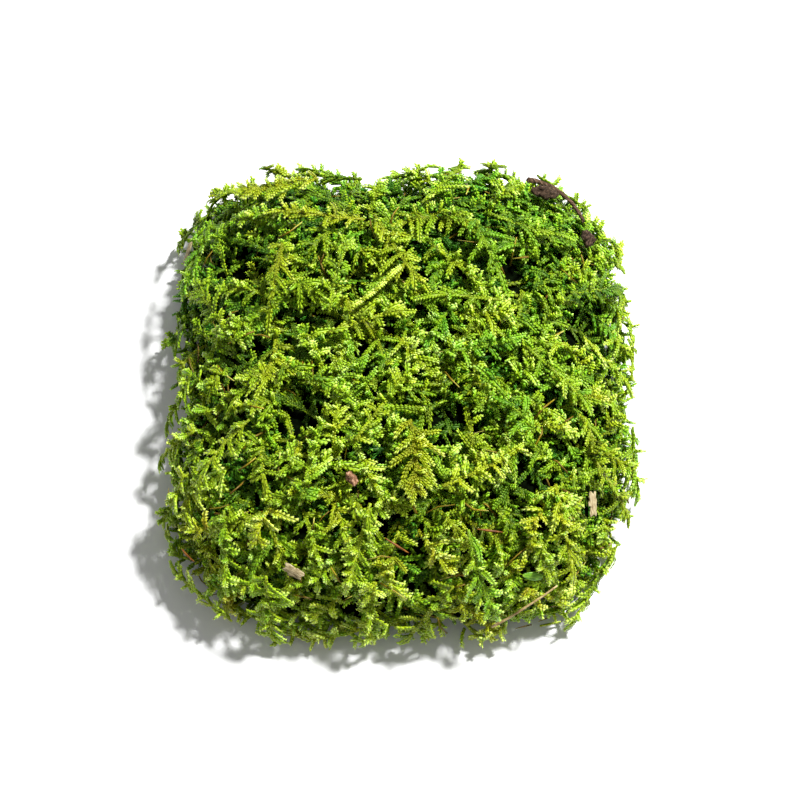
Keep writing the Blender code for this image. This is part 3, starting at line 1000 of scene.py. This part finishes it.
chance = random.Random(mossCover["seed"])
clearTree, clearRooms = clearedPoints()
loose = deadStemCopies()
for frond in coverFronds(chance, middles):
    loose += frondCopies(frond, chance)
loose = [copy for copy in loose if isClear(copy, clearTree, clearRooms)]
loose += frondCopies(curvedShootFrond(), chance)
sectors = [[] for _ in range(mossCover["sectors"])]
for copy in loose:
    turn = math.atan2(copy["base"][1], copy["base"][0]) / (2 * math.pi) % 1
    sectors[int(turn * mossCover["sectors"])].append(copy)
for number, copies in enumerate(sectors, 1):
    piece, triangles = joinedCopies(f"moss_mat_fronds_{number}", copies, leafGreen)
    total += triangles
    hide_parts("moss_mat")
    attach(piece, "root")
report(f"fronds of the mat, {total} triangles with those of the solids")

# litter: copies of its solids, cut finer and roughened
# slim and thin are shares of the solid's measures, and torn, rough and their spans are in mm
litter = {
    "bark_crumb_3": {  # lighter than the other two
        "slot": "bark", "cuts": 3, "slim": 0.94, "thin": 0.94, "torn": 0.7, "tornSpan": 1.6,
        "rough": 0.4, "span": 1.1, "roughness": 0.9, "grain": (0.6, 1.1), "bump": 0.7,
        "colours": (
            (0.32, 0.060, 0.024, 0.010),
            (0.48, 0.230, 0.110, 0.055),
            (0.60, 0.420, 0.240, 0.140),
            (0.75, 0.620, 0.440, 0.300),
        ),
    },
    "bark_crumb": {
        "slot": "bark", "cuts": 3, "slim": 0.94, "thin": 0.94, "torn": 0.9, "tornSpan": 1.9,
        "rough": 0.75, "span": 1.1, "roughness": 0.95, "grain": (0.6, 1.1), "bump": 0.9,
        "colours": (
            (0.32, 0.005, 0.003, 0.001),
            (0.48, 0.030, 0.016, 0.007),
            (0.60, 0.075, 0.045, 0.025),
            (0.75, 0.190, 0.130, 0.090),
        ),
    },
    "brown_twig": {
        "slot": "bark", "cuts": 2, "slim": 1.0, "thin": 1.0, "torn": 0.0, "tornSpan": 1.0,
        "rough": 0.22, "span": 0.9, "roughness": 0.9, "grain": (0.25, 1.6), "bump": 0.7,
        "colours": (
            (0.32, 0.012, 0.006, 0.003),
            (0.48, 0.060, 0.031, 0.016),
            (0.60, 0.140, 0.078, 0.045),
            (0.78, 0.300, 0.200, 0.130),
        ),
    },
    "dead_leaf_scrap": {
        "slot": "dead_leaf", "cuts": 3, "slim": 0.80, "thin": 0.55, "torn": 0.75, "tornSpan": 1.3,
        "rough": 0.10, "span": 1.0, "roughness": 0.75, "grain": (0.30, 2.6), "bump": 0.5,
        "colours": (
            (0.28, 0.055, 0.032, 0.012),
            (0.42, 0.235, 0.170, 0.078),
            (0.56, 0.415, 0.345, 0.190),
            (0.75, 0.600, 0.540, 0.360),
        ),
    },
    "pine_needle": {
        "slot": "needle", "cuts": 2, "slim": 0.62, "thin": 0.62, "torn": 0.0, "tornSpan": 1.0,
        "rough": 0.05, "span": 0.8, "roughness": 0.5, "grain": (0.18, 3.0), "bump": 0.3,
        "colours": (
            (0.30, 0.035, 0.009, 0.002),
            (0.48, 0.160, 0.050, 0.004),
            (0.62, 0.330, 0.120, 0.010),
            (0.80, 0.500, 0.250, 0.030),
        ),
    },
    "pale_stalk": {
        "slot": "straw", "cuts": 2, "slim": 0.9, "thin": 0.9, "torn": 0.0, "tornSpan": 1.0,
        "rough": 0.05, "span": 2.0, "roughness": 0.55, "grain": (0.15, 2.5), "bump": 0.3,
        "colours": (
            (0.30, 0.160, 0.095, 0.035),
            (0.48, 0.360, 0.245, 0.100),
            (0.62, 0.540, 0.420, 0.200),
            (0.80, 0.720, 0.600, 0.360),
        ),
    },
    "seedling_leaf": {
        "slot": "seedling", "cuts": 3, "slim": 0.85, "thin": 0.55, "torn": 0.12, "tornSpan": 1.6,
        "rough": 0.05, "span": 1.2, "roughness": 0.32, "grain": (0.3, 1.4), "bump": 0.25,
        "colours": (
            (0.30, 0.060, 0.170, 0.010),
            (0.48, 0.130, 0.320, 0.018),
            (0.62, 0.270, 0.480, 0.035),
            (0.80, 0.460, 0.660, 0.090),
        ),
    },
}
litterFinish = {
    "specular": 0.3,
    "streaks": {"Scale": 2.0, "Detail": 6.0},
    "spots": {"Scale": 5.0, "Detail": 4.0},
    "bumpDepth": 0.2 * mm,
}
litterShape = {
    "smoothed": ("bark_crumb", "dead_leaf_scrap", "seedling_leaf"),
    "smoothing": 0.6,
    "curved": ("brown_twig", "pale_stalk"),  # these keep their width
    "edgeFrom": 1.5 * mm,  # from the middle, where an edge is torn in full
    "tornInwards": 0.15,
    "roughening": (0.8, 2.2, 3),  # the noise's smoothness, its layers' steps, and their number
}


def litterMaterial(name, finish):  # grain runs along the piece, by its own UV map in millimetres
    material, tree, shader = newMaterial(name, finish["roughness"], litterFinish["specular"])
    place = addNode(tree, "ShaderNodeUVMap", {"uv_map": "grain"})
    stretched = addNode(
        tree, "ShaderNodeMapping", Vector=place.outputs["UV"], Scale=(*finish["grain"], 1)
    )
    streaks = addNode(
        tree, "ShaderNodeTexNoise", Vector=stretched.outputs["Vector"], **litterFinish["streaks"]
    )
    colour = colourRamp(tree, streaks.outputs["Fac"], finish["colours"])
    tree.links.new(colour, shader.inputs["Base Color"])
    spots = addNode(
        tree, "ShaderNodeTexNoise", Vector=stretched.outputs["Vector"], **litterFinish["spots"]
    )
    bump = addNode(
        tree, "ShaderNodeBump", Height=spots.outputs["Fac"], Strength=finish["bump"],
        Distance=litterFinish["bumpDepth"],
    )
    tree.links.new(bump.outputs["Normal"], shader.inputs["Normal"])
    return material


def dressLitter(node, finish, material):
    bm = mergedCopy(node)
    smooth = litterShape["smoothing"] if node.startswith(litterShape["smoothed"]) else 0
    bmesh.ops.subdivide_edges(
        bm, edges=bm.edges[:], cuts=finish["cuts"], smooth=smooth, use_grid_fill=True
    )
    points = np.array([vert.co[:] for vert in bm.verts])
    centre = points.mean(axis=0)
    _, axes = np.linalg.eigh(np.cov((points - centre).T))
    along, across, through = (Vector(axes[:, column]) for column in (2, 1, 0))
    middle = Vector(centre)
    if not node.startswith(litterShape["curved"]):
        for vert in bm.verts:
            offset = vert.co - middle
            part = along * offset.dot(along) + across * offset.dot(across) * finish["slim"]
            vert.co = middle + part + through * offset.dot(through) * finish["thin"]
            inPlane = (part - through * part.dot(through)).normalized()
            edge = min(1.0, part.length / litterShape["edgeFrom"]) ** 2
            torn = noise.noise(vert.co / (finish["tornSpan"] * mm)) - litterShape["tornInwards"]
            vert.co += inPlane * (torn * edge * finish["torn"] * mm)
    bm.normal_update()
    for vert in bm.verts:
        shift = noise.fractal(vert.co / (finish["span"] * mm), *litterShape["roughening"])
        vert.co += vert.normal * (shift * finish["rough"] * mm)
    bmesh.ops.triangulate(bm, faces=bm.faces[:])
    bmesh.ops.recalc_face_normals(bm, faces=bm.faces[:])
    grain = bm.loops.layers.uv.new("grain")
    for face in bm.faces:
        for loop in face.loops:
            offset = loop.vert.co - middle
            loop[grain].uv = (offset.dot(along) / mm, offset.dot(across) / mm)
    piece = addPiece(node + "_detail", bm, material)
    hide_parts(node)
    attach(piece, "root")


dressed = set()
for start, finish in litter.items():
    material = litterMaterial(start, finish)
    for nodeName in sorted(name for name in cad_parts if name.startswith(start)):
        if nodeName not in dressed:
            dressed.add(nodeName)
            dressLitter(nodeName, finish, material)
report("litter")


# studio: floor, light and camera
studio = {
    "floor": 3.0,
    "floorColour": (0.86, 0.86, 0.86, 1),
    "floorDrop": 0.1 * mm,
    "floorRoughness": 0.9,
    "floorSpecular": 0.1,
    "key": {"turn": 34, "height": 58, "distance": 0.9, "size": 0.11, "power": 17.0},
    "sky": 0.34,
}


def buildFloor():
    bm = bmesh.new()
    bmesh.ops.create_grid(bm, x_segments=1, y_segments=1, size=studio["floor"])
    bmesh.ops.translate(bm, vec=(0, 0, -studio["floorDrop"]), verts=bm.verts)
    roughness, specular = studio["floorRoughness"], studio["floorSpecular"]
    material, _, shader = newMaterial("pale_floor", roughness, specular)
    shader.inputs["Base Color"].default_value = studio["floorColour"]
    addPiece("floor", bm, material, smooth=False)


def addLamp(name, turn, height, distance, size, power):
    light = bpy.data.lights.new(name, "AREA")
    light.shape = "DISK"
    light.size = size
    light.energy = power
    lamp = bpy.data.objects.new(name, light)
    height = math.radians(height)
    way = compass(turn) * math.cos(height) + Vector((0, 0, math.sin(height)))
    lamp.location = way * distance
    lamp.rotation_euler = way.to_track_quat("Z", "Y").to_euler()
    bpy.context.scene.collection.objects.link(lamp)


def buildSky():
    world = bpy.data.worlds.new("studio")
    world.use_nodes = True
    background = world.node_tree.nodes["Background"]
    background.inputs["Color"].default_value = (1, 1, 1, 1)
    background.inputs["Strength"].default_value = studio["sky"]
    bpy.context.scene.world = world
    bpy.context.scene.view_settings.view_transform = "Standard"


view = {
    "height": 67,
    "distance": 453 * mm,
    "target": (0, -5.4 * mm, 16 * mm),
    "lens": 85,
    "sensor": 36,
    "nearest": 10 * mm,
}


def buildCamera():
    lens = bpy.data.cameras.new("camera")
    lens.lens = view["lens"]
    lens.sensor_width = view["sensor"]
    lens.clip_start = view["nearest"]
    camera = bpy.data.objects.new("camera", lens)
    height = math.radians(view["height"])
    way = Vector((0, -math.cos(height), math.sin(height)))
    camera.location = Vector(view["target"]) + way * view["distance"]
    camera.rotation_euler = way.to_track_quat("Z", "Y").to_euler()
    bpy.context.scene.collection.objects.link(camera)
    bpy.context.scene.camera = camera


buildFloor()
addLamp("key", **studio["key"])
buildSky()
buildCamera()
report("studio")
